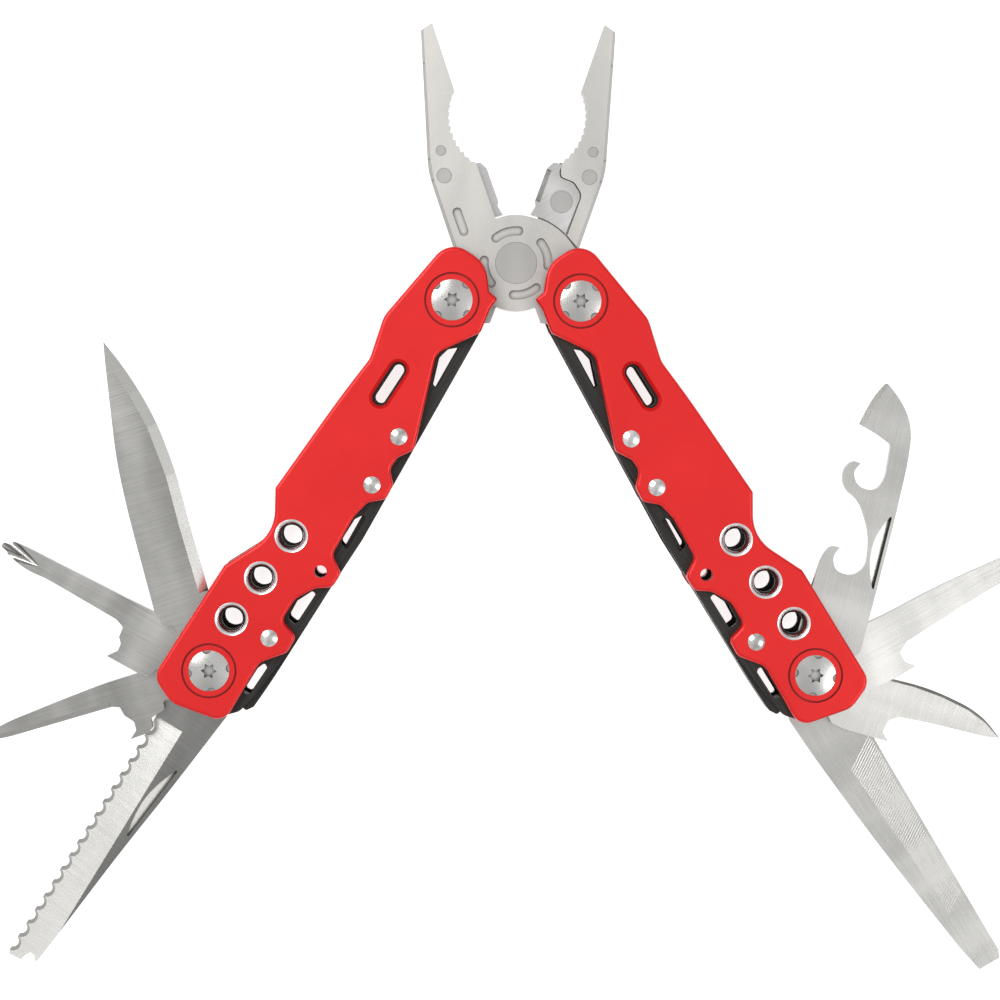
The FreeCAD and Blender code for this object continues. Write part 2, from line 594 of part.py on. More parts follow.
def make_hub_plate():
    """The plate with the jaw, the hub and the tang, above the middle plane."""
    low = MIDDLE
    jaw = [(-1.0, 9.0), (-1.0, 21.6)] + tooth_line()[::-1] + [(-0.35, 37.3), (-0.1, 51.0, 0.2)]
    jaw += OUTER_SIDE[::-1] + [(-10.85, 6.8, SMOOTH), (-10.6, 3.2, 2.5), (-9.0, 0.0), (0.0, 0.0)]
    shoulder = [
        (2.7, 7.9), (5.6, 7.9), (8.3, 6.1, SMOOTH), (10.1, 3.9, SMOOTH), (11.3, 1.7, SMOOTH), (12.45, -1.9, 2.0),
        (14.6, -9.6, 1.0), (TANG_POST.x + 2.0, TANG_POST.y - 4.9), (TANG_POST.x - 3.7, TANG_POST.y - 3.8),
        (1.64, -13.5, 0.3), (0.73, -13.1, 0.3), (0.7, -9.3), (0.0, 0.0),
    ]
    solid = join([
        plate(rounded(jaw), low, JAW_PLATE), disc(0, 0, HUB_R, low, JAW_PLATE),
        plate(rounded(shoulder), low, JAW_PLATE), disc(TANG_POST.x, TANG_POST.y, TANG_POST_R, low, JAW_PLATE),
    ])
    top = low + JAW_PLATE
    solid = solid.cut(jaw_bevel(top))
    deep = JAW_PLATE + 2 * THROUGH
    solid = solid.cut(disc(0, 0, PIVOT_HEAD_R + RUN, top - PIVOT_HEAD - RUN, 2))
    solid = solid.cut(disc(0, 0, PIVOT_R + RUN, low - THROUGH, deep))
    solid = solid.cut(disc(TANG_POST.x, TANG_POST.y, POST_R + RUN, low - THROUGH, deep))
    x, y, r = CUTTER_RIVET
    solid = solid.cut(disc(x, y, r, low - THROUGH, THROUGH + RIVET_BLIND))
    for x, y, r in JAW_PINS:
        solid = solid.cut(disc(x, y, r, low - THROUGH, deep))
        solid = solid.cut(disc(x, y, r + PIN_GROOVE, top - PIN_GROOVE, 1))
    solid = solid.cut(slot([(-7.85, 13.5), (-7.85, 9.5)], 0.95, top - POCKET, 1))
    return solid.cut(hub_pockets(top))


def hub_pockets(top):
    """Four curved pockets round the hub."""
    middle, half_wide, half_turn = 6.45, 0.92, 22
    reach = 14
    cuts = []
    for k in range(4):
        centre = 88.0 + 90 * k
        arc_ring = ring(0, 0, middle - half_wide, middle + half_wide, top - POCKET, 1)
        first, last = radians(centre - half_turn), radians(centre + half_turn)
        sector = rounded([
            (0, 0), (reach * cos(first), reach * sin(first)),
            (reach * cos(radians(centre)), reach * sin(radians(centre))), (reach * cos(last), reach * sin(last)),
        ])
        cuts.append(arc_ring.common(plate(sector, top - POCKET, 1)))
        for a in (first, last):
            cuts.append(disc(middle * cos(a), middle * sin(a), half_wide, top - POCKET, 1))
    return join(cuts)


def pin_hole(solid, pin, low):
    """A hole for a flush pin through a lower plate, with the groove round it on the back face."""
    x, y, r = pin
    solid = solid.cut(disc(x, y, r, low - THROUGH, JAW_PLATE + 2 * THROUGH))
    return solid.cut(disc(x, y, r + PIN_GROOVE, low - THROUGH, THROUGH + PIN_GROOVE))


def make_jaw_plate():
    """The short plate under the hub plate's jaw, cut away for the wire cutter."""
    low = MIDDLE - JAW_PLATE
    outline = [(-1.7, 21.9)] + tooth_line()[-1::-1] + [(-0.35, 37.3), (-0.1, 51.0, 0.2)]
    outline += OUTER_SIDE[::-1] + [(-10.9, 6.95)] + RECESS[::-1]
    bevel = jaw_bevel(-low).mirror(Vector(0, 0, 0), Vector(0, 0, 1))
    solid = plate(rounded(outline), low, JAW_PLATE).cut(bevel)
    for pin in JAW_PINS:
        solid = pin_hole(solid, pin, low)
    return solid


def make_cutter():
    """The replaceable wire cutter beside the jaw plate."""
    low = MIDDLE - JAW_PLATE
    gap = 0.22
    outline = [
        (-1.85, 21.7, 0.2), (-0.15, 21.7, 0.9), (0.75, 20.0, 0.6), (0.75, 12.9, 0.4), (0.3, 12.2, 0.4),
        (0.7, 10.15), (-2.5, 10.25, SMOOTH), (-5.3, 9.7, SMOOTH), (-7.3, 8.95),
    ]
    outline += [(x + gap, y + (0 if y < 9 else -gap), r) for x, y, r in RECESS[::-1][1:]]
    solid = plate(rounded(outline), low, JAW_PLATE)
    ground = wedge((-0.25, 13.1), (-0.25, 19.9), 1.5, 1.5, -low, -1).mirror(Vector(0, 0, 0), Vector(0, 0, 1))
    solid = solid.cut(ground)
    return pin_hole(solid, CUTTER_RIVET, low)


def make_jaw_pins():
    """Flush pins through both plates of a jaw."""
    return Part.makeCompound([disc(x, y, r, MIDDLE - JAW_PLATE, 2 * JAW_PLATE) for x, y, r in JAW_PINS])


def make_cutter_rivet():
    """The rivet that holds the cutter, blind in the hub plate."""
    x, y, r = CUTTER_RIVET
    return disc(x, y, r, MIDDLE - JAW_PLATE, JAW_PLATE + RIVET_BLIND)


def make_pliers_pivot():
    """The flush rivet that both hub plates turn on."""
    return join([
        disc(0, 0, PIVOT_R, MIDDLE - JAW_PLATE, 2 * JAW_PLATE),
        disc(0, 0, PIVOT_HEAD_R, MIDDLE + JAW_PLATE - PIVOT_HEAD, PIVOT_HEAD),
        disc(0, 0, PIVOT_HEAD_R, MIDDLE - JAW_PLATE, PIVOT_HEAD),
    ])


def jaw_placed(solid, side):
    """A jaw piece from the jaw frame to its place at rest."""
    there = solid.copy()
    if side == "right":
        there.rotate(Vector(0, 0, MIDDLE), Vector(0, 1, 0), 180)
    there.rotate(Vector(0, 0, 0), Vector(0, 0, 1), JAW_OPEN if side == "left" else -JAW_OPEN)
    return there


# ---- assembly -----------------------------------------------------------------------------------

def footprint_shift(solids):
    """The move that brings the middle of the footprint to the origin."""
    box = Part.makeCompound(list(solids)).optimalBoundingBox(True, False)
    return Vector(-box.Center.x, -box.Center.y, 0)


def build():
    """Every piece, by node name."""
    pieces = {}
    jaw = {
        "hub_plate": make_hub_plate(), "jaw_plate": make_jaw_plate(), "cutter": make_cutter(),
        "cutter_rivet": make_cutter_rivet(), "jaw_pins": make_jaw_pins(),
    }
    front_scale, front_liner, rivets = make_scale(), make_liner(), make_rivets()
    handle = {
        "front_scale": front_scale, "back_scale": flipped(front_scale),
        "front_liner": front_liner, "back_liner": flipped(front_liner),
        "front_rivets": rivets, "back_rivets": flipped(rivets), "spring_rivet": make_spring_rivet(),
        "jaw_post_screw": make_screw(80), "jaw_post_nut": make_nut(),
        "tool_post_screw": at(make_screw(40), HANDLE), "tool_post_nut": at(make_nut(), HANDLE),
        "spring_1": make_spring(0, True), "spring_2": make_spring(1, False),
        "spring_3": make_spring(2, False), "spring_4": make_spring(3, True),
        "stop_pin": make_stop_pin(), "tool_washers": make_tool_washers(),
    }
    spacers = make_jaw_spacers()
    for side in ("left", "right"):
        for name, solid in jaw.items():
            pieces[side + "_" + name] = jaw_placed(solid, side)
        for name, solid in handle.items():
            pieces[side + "_" + name] = placed(solid, side)
        pieces[side + "_jaw_spacers"] = placed(spacers if side == "left" else flipped(spacers), side)
        for index, (name, make) in enumerate(TOOLS[side]):
            pieces[name] = placed(opened(make(level(index)), OPEN[name]), side)
    pieces["pliers_pivot"] = make_pliers_pivot()
    shift = footprint_shift(pieces.values())
    for solid in pieces.values():
        solid.translate(shift)
    return pieces


def main():
    """Write one STEP per piece."""
    os.makedirs("parts", exist_ok=True)
    for name, solid in build().items():
        if not solid.isValid() or solid.Volume <= 0:
            print("not sound:", name)
        solid.exportStep(os.path.join("parts", name + ".step"))


if __name__ == "__main__":
    main()
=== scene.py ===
"""Looks for the folding multi tool: finishes for every piece, cut file teeth, bright rims, stage and camera.

Every size is in metres.  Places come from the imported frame: a piece's post, its handle's direction and
its heights are all read from the boxes of the nodes it belongs to.
"""

import logging
import math
from dataclasses import dataclass, field
from enum import Enum

import bmesh
import bpy
from mathutils import Matrix, Vector

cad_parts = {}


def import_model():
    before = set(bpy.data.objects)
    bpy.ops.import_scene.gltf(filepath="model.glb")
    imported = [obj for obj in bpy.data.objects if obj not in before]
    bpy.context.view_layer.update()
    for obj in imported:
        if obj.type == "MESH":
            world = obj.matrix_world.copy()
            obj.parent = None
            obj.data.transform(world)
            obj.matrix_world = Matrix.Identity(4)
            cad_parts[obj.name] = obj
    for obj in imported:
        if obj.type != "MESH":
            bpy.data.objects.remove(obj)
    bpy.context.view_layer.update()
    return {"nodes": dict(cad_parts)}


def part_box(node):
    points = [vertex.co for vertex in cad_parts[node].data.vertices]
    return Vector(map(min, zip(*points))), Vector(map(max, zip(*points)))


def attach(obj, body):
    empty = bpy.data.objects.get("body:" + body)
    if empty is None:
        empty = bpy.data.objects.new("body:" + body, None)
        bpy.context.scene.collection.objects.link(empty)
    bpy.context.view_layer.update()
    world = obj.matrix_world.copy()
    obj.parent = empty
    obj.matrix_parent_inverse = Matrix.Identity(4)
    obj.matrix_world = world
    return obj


MM = 0.001
log = logging.getLogger("multi_tool")


class Side(Enum):
    """The two handles."""

    LEFT = "left"
    RIGHT = "right"


class Grain(Enum):
    """The way a steel piece was worked."""

    BRUSHED = "brushed"
    BLASTED = "blasted"
    TURNED = "turned"


# ---- node helpers -------------------------------------------------------------------------------

class Nodes:
    """A small builder for one material's node tree."""

    def __init__(self, name: str) -> None:
        """Start an empty node material.

        Args:
            name: the material's name.
        """
        self.material = bpy.data.materials.new(name)
        self.material.use_nodes = True
        self.tree = self.material.node_tree
        self.shader = self.tree.nodes["Principled BSDF"]

    def add(self, kind: str, **settings: object) -> bpy.types.Node:
        """Add a node.

        Args:
            kind: the node's Blender type name.
            settings: properties to set on it.

        Returns:
            The new node.
        """
        node = self.tree.nodes.new(kind)
        for key, value in settings.items():
            setattr(node, key, value)
        return node

    def join(self, source: bpy.types.NodeSocket, target: bpy.types.NodeSocket) -> None:
        """Link two sockets."""
        self.tree.links.new(source, target)

    def place(self) -> bpy.types.NodeSocket:
        """The point in the object's own space."""
        return self.add("ShaderNodeTexCoord").outputs["Object"]

    def turned(
        self, origin: Vector, angle: float, stretch: tuple[float, float, float]
    ) -> bpy.types.NodeSocket:
        """The point measured from an origin, turned to an angle and stretched per axis.

        Args:
            origin: where the texture starts.
            angle: direction of the texture's first axis, in radians from +X.
            stretch: scale along each axis.

        Returns:
            The mapped vector.
        """
        move = self.add("ShaderNodeVectorMath", operation="SUBTRACT")
        move.inputs[1].default_value = origin
        self.join(self.place(), move.inputs[0])
        turn = self.add("ShaderNodeVectorRotate", rotation_type="Z_AXIS")
        turn.inputs["Angle"].default_value = -angle
        self.join(move.outputs[0], turn.inputs["Vector"])
        scale = self.add("ShaderNodeVectorMath", operation="MULTIPLY")
        scale.inputs[1].default_value = stretch
        self.join(turn.outputs[0], scale.inputs[0])
        return scale.outputs[0]

    def noise(self, vector: bpy.types.NodeSocket, scale: float, detail: float = 3.0) -> bpy.types.NodeSocket:
        """A noise value.

        Args:
            vector: where to read it.
            scale: its frequency.
            detail: its octaves.

        Returns:
            The noise, about 0 to 1.
        """
        node = self.add("ShaderNodeTexNoise")
        node.inputs["Scale"].default_value = scale
        node.inputs["Detail"].default_value = detail
        self.join(vector, node.inputs["Vector"])
        return node.outputs["Fac"]

    def spread(self, value: bpy.types.NodeSocket, low: float, high: float) -> bpy.types.NodeSocket:
        """Map the middle of a noise to a range.

        Args:
            value: the noise.
            low: result at the noise's low end.
            high: result at its high end.

        Returns:
            The mapped value.
        """
        node = self.add("ShaderNodeMapRange")
        node.inputs["From Min"].default_value = 0.3
        node.inputs["From Max"].default_value = 0.7
        node.inputs["To Min"].default_value = low
        node.inputs["To Max"].default_value = high
        self.join(value, node.inputs["Value"])
        return node.outputs[0]

    def tint(self, value: bpy.types.NodeSocket, first: tuple, second: tuple) -> None:
        """Colour the surface between two colours by a value.

        Args:
            value: 0 for the first colour and 1 for the second.
            first: linear red, green, blue.
            second: linear red, green, blue.
        """
        ramp = self.add("ShaderNodeMix", data_type="RGBA")
        ramp.inputs["A"].default_value = (*first, 1)
        ramp.inputs["B"].default_value = (*second, 1)
        self.join(value, ramp.inputs["Factor"])
        self.join(ramp.outputs["Result"], self.shader.inputs["Base Color"])

    def paint_slope_light(self, slope_grind_and_light: tuple, wall_shade: tuple) -> None:
        """Paint light and shade by facing: a face a few degrees off level gets a tone that is partly its
        grind's own and partly a painted highlight or shade, and a wall, groove or hard bevel gets a painted
        shade.

        Args:
            slope_grind_and_light: linear red, green, blue of a face a few degrees off level.
            wall_shade: linear red, green, blue of a wall, a groove or a hard bevel.
        """
        facing = self.add("ShaderNodeSeparateXYZ")
        self.join(self.add("ShaderNodeTexCoord").outputs["Normal"], facing.inputs[0])
        size = self.add("ShaderNodeMath", operation="ABSOLUTE")
        self.join(facing.outputs["Z"], size.inputs[0])
        base = self.shader.inputs["Base Color"]
        for colour, none, full in ((slope_grind_and_light, 0.999, 0.9955), (wall_shade, 0.91, 0.88)):
            share = self.add("ShaderNodeMapRange")
            share.inputs["From Min"].default_value = none
            share.inputs["From Max"].default_value = full
            self.join(size.outputs[0], share.inputs["Value"])
            choose = self.add("ShaderNodeMix", data_type="RGBA")
            choose.inputs["B"].default_value = (*colour, 1)
            self.join(base.links[0].from_socket, choose.inputs["A"])
            self.join(share.outputs[0], choose.inputs["Factor"])
            self.join(choose.outputs["Result"], base)

    def paint_crease_shade(self, reach: float, floor: float) -> None:
        """Paint shade into the colour in a piece's own corners, pockets and grooves, read from ambient
        occlusion.

        Args:
            reach: how far away a wall still counts, in metres.
            floor: what is left of the colour in the deepest corner.
        """
        crease_occlusion = self.add("ShaderNodeAmbientOcclusion", samples=8, only_local=True)
        crease_occlusion.inputs["Distance"].default_value = reach
        keep = self.add("ShaderNodeMapRange")
        keep.inputs["From Min"].default_value = 0.35
        keep.inputs["From Max"].default_value = 0.95
        keep.inputs["To Min"].default_value = floor
        self.join(crease_occlusion.outputs["AO"], keep.inputs["Value"])
        base = self.shader.inputs["Base Color"]
        colour = base.links[0].from_socket
        shade = self.add("ShaderNodeVectorMath", operation="SCALE")
        self.join(colour, shade.inputs[0])
        self.join(keep.outputs[0], shade.inputs["Scale"])
        self.join(shade.outputs[0], base)

    def relief(self, value: bpy.types.NodeSocket, depth: float, strength: float = 1.0) -> None:
        """Raise the surface by a value.

        Args:
            value: the height, 0 to 1.
            depth: its height in metres.
            strength: how strongly it counts.
        """
        bump = self.add("ShaderNodeBump")
        bump.inputs["Distance"].default_value = depth
        bump.inputs["Strength"].default_value = strength
        self.join(value, bump.inputs["Height"])
        self.join(bump.outputs["Normal"], self.shader.inputs["Normal"])


# ---- finishes -----------------------------------------------------------------------------------

@dataclass(frozen=True)
class Anodised:
    """Satin dyed aluminium: even colour with faint random tone and very fine blasted grain."""

    deep: tuple[float, float, float] = (0.61, 0.006, 0.006)
    pale: tuple[float, float, float] = (0.66, 0.009, 0.008)
    roughness: float = 0.36
    grain: float = 5200.0
    grain_depth: float = 0.018 * MM

    def material(self, name: str) -> bpy.types.Material:
        """Build the material.

        Args:
            name: the material's name.

        Returns:
            The material.
        """
        nodes = Nodes(name)
        place = nodes.place()
        cloud = nodes.noise(place, 60.0)
        grain = nodes.noise(place, self.grain, 2.0)
        nodes.tint(nodes.spread(cloud, 0.0, 1.0), self.deep, self.pale)
        rough = nodes.spread(grain, self.roughness - 0.06, self.roughness + 0.06)
        nodes.join(rough, nodes.shader.inputs["Roughness"])
        # painted shade: ambient occlusion darkens the red in the scale's corners and pockets
        nodes.paint_crease_shade(1.2 * MM, 0.35)
        nodes.shader.inputs["Metallic"].default_value = 0.45
        nodes.shader.inputs["Coat Weight"].default_value = 0.12
        nodes.shader.inputs["Coat Roughness"].default_value = 0.3
        nodes.relief(grain, self.grain_depth, 0.5)
        return nodes.material


@dataclass(frozen=True)
class BlackOxide:
    """Blackened steel sheet with a satin face and faint rolling marks."""

    deep: tuple[float, float, float] = (0.010, 0.009, 0.008)
    pale: tuple[float, float, float] = (0.030, 0.028, 0.025)
    roughness: float = 0.42

    def material(self, name: str, origin: Vector, angle: float) -> bpy.types.Material:
        """Build the material.

        Args:
            name: the material's name.
            origin: where the rolling marks start.
            angle: their direction, in radians from +X.

        Returns:
            The material.
        """
        nodes = Nodes(name)
        streak = nodes.noise(nodes.turned(origin, angle, (40, 2600, 900)), 1.0)
        speck = nodes.noise(nodes.place(), 2400.0, 2.0)
        nodes.tint(nodes.spread(streak, 0.0, 1.0), self.deep, self.pale)
        rough = nodes.spread(speck, self.roughness - 0.1, self.roughness + 0.1)
        nodes.join(rough, nodes.shader.inputs["Roughness"])
        nodes.shader.inputs["Metallic"].default_value = 0.5
        nodes.relief(streak, 0.01 * MM, 0.4)
        return nodes.material


@dataclass(frozen=True)
class Steel:
    """Stainless steel: brushed along a direction, bead-blasted, or turned about a centre."""

    grain: Grain
    deep: tuple[float, float, float] = (0.40, 0.395, 0.38)
    pale: tuple[float, float, float] = (0.62, 0.615, 0.60)
    roughness: float = 0.3
    mark: float = 9000.0
    depth: float = 0.006 * MM
    patch: float = 70.0
    patchy: float = 0.8
    # the next two colours paint by facing: off-level ground faces get a tone partly their grind's own and
    # partly painted highlight or shade, and walls and grooves get painted shade
    cut: tuple[float, float, float] | None = None
    wall_shade: tuple[float, float, float] = (0.24, 0.235, 0.22)

    def material(self, name: str, origin: Vector, angle: float = 0.0) -> bpy.types.Material:
        """Build the material.

        Args:
            name: the material's name.
            origin: the turning centre, or where the marks start.
            angle: direction of brushed marks, in radians from +X.

        Returns:
            The material.
        """
        nodes = Nodes(name)
        if self.grain is Grain.BRUSHED:
            marks = nodes.noise(nodes.turned(origin, angle, (120, self.mark, 400)), 1.0)
        elif self.grain is Grain.TURNED:
            flat = nodes.turned(origin, 0.0, (1, 1, 0))
            reach = nodes.add("ShaderNodeVectorMath", operation="LENGTH")
            nodes.join(flat, reach.inputs[0])
            line = nodes.add("ShaderNodeCombineXYZ")
            nodes.join(reach.outputs["Value"], line.inputs["X"])
            marks = nodes.noise(line.outputs[0], self.mark)
        else:
            marks = nodes.noise(nodes.place(), self.mark, 2.0)
        stretch = (self.patch * 1.6, self.patch * 0.5, self.patch)
        cloud = nodes.noise(nodes.turned(origin, angle, stretch), 1.0, 2.0)
        share = nodes.add("ShaderNodeMix", data_type="FLOAT")
        share.inputs["Factor"].default_value = self.patchy
        nodes.join(marks, share.inputs["A"])
        nodes.join(cloud, share.inputs["B"])
        nodes.tint(nodes.spread(share.outputs["Result"], 0.0, 1.0), self.deep, self.pale)
        # painted light by facing: off-level faces get a partly painted highlight or shade, walls and grooves
        # a painted shade
        if self.cut:
            nodes.paint_slope_light(self.cut, self.wall_shade)
        # painted shade: ambient occlusion darkens the steel in its corners, pockets and grooves
        nodes.paint_crease_shade(0.9 * MM, 0.30)
        mixed = nodes.add("ShaderNodeMath", operation="ADD")
        nodes.join(nodes.spread(marks, -0.05, 0.05), mixed.inputs[0])
        nodes.join(nodes.spread(cloud, self.roughness - 0.04, self.roughness + 0.04), mixed.inputs[1])
        nodes.join(mixed.outputs[0], nodes.shader.inputs["Roughness"])
        nodes.shader.inputs["Metallic"].default_value = 1.0
        nodes.relief(marks, self.depth, 0.4)
        return nodes.material


# ---- mesh helpers -------------------------------------------------------------------------------

def mesh_object(name: str, build: bmesh.types.BMesh) -> bpy.types.Object:
    """Turn a bmesh into a linked object.

    Args:
        name: the object's name.
        build: the mesh, freed here.

    Returns:
        The object.
    """
    bmesh.ops.recalc_face_normals(build, faces=build.faces)
    mesh = bpy.data.meshes.new(name)
    build.to_mesh(mesh)
    build.free()
    made = bpy.data.objects.new(name, mesh)
    bpy.context.collection.objects.link(made)
    return made


def lathe(build: bmesh.types.BMesh, centre: Vector, profile: list[tuple[float, float]], count: int) -> None:
    """Add a closed ring swept about a vertical axis.

    Args:
        build: where to add it.
        centre: a point on the axis.
        profile: (radius, height) round the ring's section.
        count: steps round the axis.
    """
    rings = []
    for k in range(count):
        turn = 2 * math.pi * k / count
        rings.append([
            build.verts.new(centre + Vector((r * math.cos(turn), r * math.sin(turn), z))) for r, z in profile
        ])
    size = len(profile)
    for k in range(count):
        first, second = rings[k], rings[(k + 1) % count]
        for i in range(size):
            j = (i + 1) % size
            face = build.faces.new((first[i], second[i], second[j], first[j]))
            face.smooth = True


def centre_of(node: str) -> Vector:
    """The middle of a node's box at rest."""
    low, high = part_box(node)
    return (Vector(low) + Vector(high)) / 2


def soften(node: bpy.types.Object, width: float) -> None:
    """Break a CAD node's sharp edges with a narrow bevel.

    Args:
        node: the CAD node's object.
        width: the bevel's width.
    """
    bevel = node.modifiers.new("broken_edges", "BEVEL")
    bevel.width = width
    bevel.segments = 2
    bevel.limit_method = "ANGLE"
    bevel.angle_limit = math.radians(40)
    bevel.harden_normals = True


def paint(node: bpy.types.Object, material: bpy.types.Material) -> None:
    """Give a node one material.

    Args:
        node: the object.
        material: its new material.
    """
    node.data.materials.clear()
    node.data.materials.append(material)


# ---- sub-assemblies -----------------------------------------------------------------------------

@dataclass
class Handle:
    """One handle: scales, liners, springs, screws, rivets, and the bright rims of its holes."""

    side: Side
    nodes: dict
    holes: tuple[tuple[float, float], ...] = ((57.1, -1.0), (67.5, -1.5), (77.6, -1.9))
    rim_in: float = 2.50 * MM
    rim_out: float = 3.34 * MM
    rim_high: float = 0.80 * MM
    skin: float = 0.05 * MM
    broken_edge: float = 0.12 * MM
    jaw_post: Vector = field(init=False)
    tool_post: Vector = field(init=False)
    angle: float = field(init=False)

    def __post_init__(self) -> None:
        """Read the two posts and the direction between them."""
        self.jaw_post = centre_of(self.named("jaw_post_screw"))
        self.tool_post = centre_of(self.named("tool_post_screw"))
        along = self.tool_post - self.jaw_post
        self.angle = math.atan2(along.y, along.x)

    def named(self, piece: str) -> str:
        """The full name of one of this handle's nodes."""
        return f"{self.side.value}_{piece}"

    def spot(self, s: float, t: float) -> Vector:
        """A place in plan.

        Args:
            s: millimetres from the jaw post towards the tool post.
            t: millimetres towards the back edge.

        Returns:
            The place, at z = 0.
        """
        flip = 1 if self.side is Side.LEFT else -1
        along = Vector((math.cos(self.angle), math.sin(self.angle), 0))
        across = Vector((-along.y, along.x, 0)) * flip
        base = Vector((self.jaw_post.x, self.jaw_post.y, 0))
        return base + (along * s + across * t) * MM

    def rims(self, scale: str, face_up: bool, finish: bpy.types.Material) -> bpy.types.Object:
        """The bright cut rims round a scale's three holes.

        Args:
            scale: the scale's node.
            face_up: whether its outer face looks up.
            finish: their material.

        Returns:
            One object with the three rims.
        """
        low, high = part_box(scale)
        face = high[2] if face_up else low[2]
        out = 1 if face_up else -1
        profile = [
            (self.rim_in - self.skin, -self.rim_high), (self.rim_in + self.skin, -self.rim_high),
            (self.rim_out, -self.skin), (self.rim_out, 0.2 * self.skin),
            (self.rim_out - self.skin, 0.4 * self.skin),
            (self.rim_in - self.skin, -self.rim_high + 2 * self.skin),
        ]
        build = bmesh.new()
        for s, t in self.holes:
            centre = self.spot(s, t) + Vector((0, 0, face))
            lathe(build, centre, [(r, out * z) for r, z in profile], 72)
        made = mesh_object(f"{scale}_hole_rims", build)
        paint(made, finish)
        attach(made, self.named("handle"))
        return made

    def dress(self) -> None:
        """Give every piece of the handle its finish."""
        red = Anodised().material(self.named("red_anodised"))
        black = BlackOxide().material(self.named("black_oxide"), self.jaw_post, self.angle)
        for piece in ("front_scale", "back_scale"):
            paint(self.nodes[self.named(piece)], red)
        dark = (
            "front_liner", "back_liner", "spring_1", "spring_2", "spring_3", "spring_4",
            "stop_pin", "jaw_spacers",
        )
        for piece in dark:
            paint(self.nodes[self.named(piece)], black)
        for post, centre in (("jaw_post", self.jaw_post), ("tool_post", self.tool_post)):
            lathed = Steel(Grain.TURNED, roughness=0.24, mark=9000.0)
            turned = lathed.material(self.named(post + "_turned"), centre)
            for part in ("screw", "nut"):
                paint(self.nodes[self.named(f"{post}_{part}")], turned)
        plain = Steel(Grain.BLASTED, roughness=0.2, mark=900.0, pale=(0.72, 0.71, 0.70))
        bright = plain.material(self.named("bright"), self.jaw_post)
        for piece in ("front_rivets", "back_rivets", "spring_rivet", "tool_washers"):
            paint(self.nodes[self.named(piece)], bright)
        cut = Steel(Grain.TURNED, (0.70, 0.70, 0.69), (0.86, 0.86, 0.85), 0.22, 3000.0)
        rim = cut.material(self.named("cut_rim"), self.tool_post)
        self.rims(self.named("front_scale"), True, rim)
        self.rims(self.named("back_scale"), False, rim)
        for piece in ("front_scale", "back_scale", "front_liner", "back_liner"):
            soften(self.nodes[self.named(piece)], self.broken_edge)
        log.info("%s handle dressed", self.side.value)


@dataclass
class Jaws:
    """Both jaws and their flush pivot."""

    nodes: dict
    edge: float = 0.10 * MM

    def dress(self) -> None:
        """Give the jaws their blasted finish, with brighter rivets and cutters."""
        pivot = centre_of("pliers_pivot")
        blasted = Steel(
            Grain.BLASTED, (0.44, 0.43, 0.41), (0.56, 0.545, 0.52), 0.42, 5200.0, 0.02 * MM, patchy=0.5
        )
        body = blasted.material("blasted_jaw", pivot)
        ground = Steel(Grain.BRUSHED, (0.42, 0.41, 0.40), (0.66, 0.65, 0.64), 0.3)
        cutter = ground.material("ground_cutter", pivot, 0.6)
        flush = Steel(Grain.TURNED, (0.40, 0.39, 0.375), (0.50, 0.485, 0.465), 0.36, 5200.0)
        for side in Side:
            for piece in ("hub_plate", "jaw_plate"):
                node = self.nodes[f"{side.value}_{piece}"]
                paint(node, body)
                soften(node, self.edge)
            paint(self.nodes[f"{side.value}_cutter"], cutter)
            for piece in ("cutter_rivet", "jaw_pins"):
                name = f"{side.value}_{piece}"
                paint(self.nodes[name], flush.material(name + "_turned", centre_of(name)))
        paint(self.nodes["pliers_pivot"], flush.material("pivot_turned", pivot))
        log.info("jaws dressed")


@dataclass
class Tool:
    """One folding tool: its node, how far it stands open at rest, and its steel, whose tones are partly its
    finish and partly painted light and shade.
    """

    name: str
    handle: Handle
    opened: float
    finish: Steel
    across: bool = False
    broken_edge: float = 0.06 * MM

    def direction(self) -> float:
        """The tool's direction from its post at rest, in radians from +X."""
        turn = math.pi + math.radians(self.opened)
        return self.handle.angle + (turn if self.handle.side is Side.LEFT else -turn)

    def dress(self, node: bpy.types.Object) -> None:
        """Give the tool its steel, with its finish and its painted light and shade.

        Args:
            node: the tool's object.
        """
        angle = self.direction() + (math.pi / 2 if self.across else 0.0)
        paint(node, self.finish.material(f"{self.name}_steel", self.handle.tool_post, angle))
        soften(node, self.broken_edge)
        log.info("%s dressed", self.name)


def tool_steel_and_painted_light(dark: float, light: float, cut: float) -> Steel:
    """The steel of one tool, with tones set tool by tool that are partly its own finish and partly painted
    light and shade.

    Args:
        dark: brightness of its face's darker patches.
        light: brightness of its face's lighter patches.
        cut: brightness of the faces ground off level, partly the grind's own tone and partly a painted
            highlight or shade.

    Returns:
        A brushed steel finish, a little warm.
    """
    deep, pale, slope_grind_and_light = [(v, 0.99 * v, 0.95 * v) for v in (dark, light, cut)]
    return Steel(Grain.BRUSHED, deep, pale, 0.27, cut=slope_grind_and_light)


